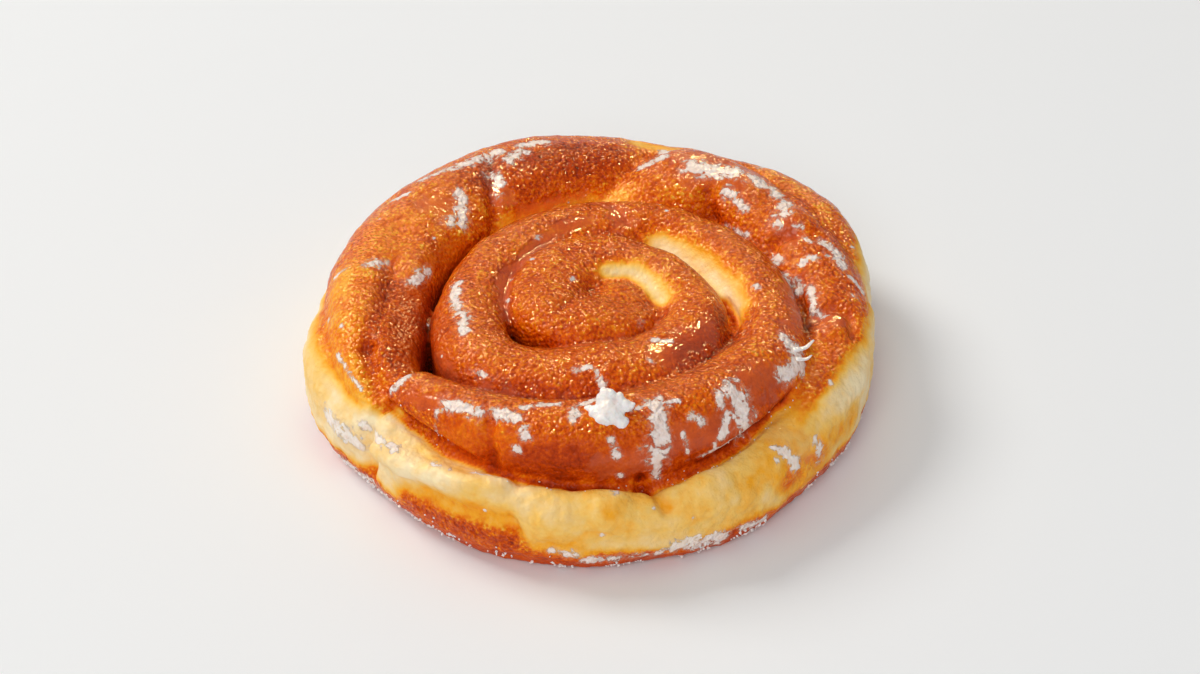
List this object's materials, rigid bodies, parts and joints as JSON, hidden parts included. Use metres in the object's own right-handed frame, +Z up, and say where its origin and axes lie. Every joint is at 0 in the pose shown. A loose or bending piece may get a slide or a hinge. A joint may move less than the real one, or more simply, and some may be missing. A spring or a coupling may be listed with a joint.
{
  "type": "glazed spiral doughnut",
  "caption": "Large fried yeast doughnut coiled as a flat spiral rope, clear sugar glaze with white dried patches and one lump of set icing on the front crest.",
  "frame": {"origin": "middle of the doughnut's footprint, on the surface that it rests on", "axes": "+Z up from the surface, -Y towards the front with the icing lump, +X to the right as seen from the front"},
  "size_m": [0.139, 0.1372, 0.0394],
  "materials": {
    "dough": "fried dough under a thin clear sugar glaze",
    "icing": "dried white sugar icing"
  },
  "bodies": {
    "root": {"dough_spiral": "dough", "icing_lump": "icing"}
  },
  "joints": []
}
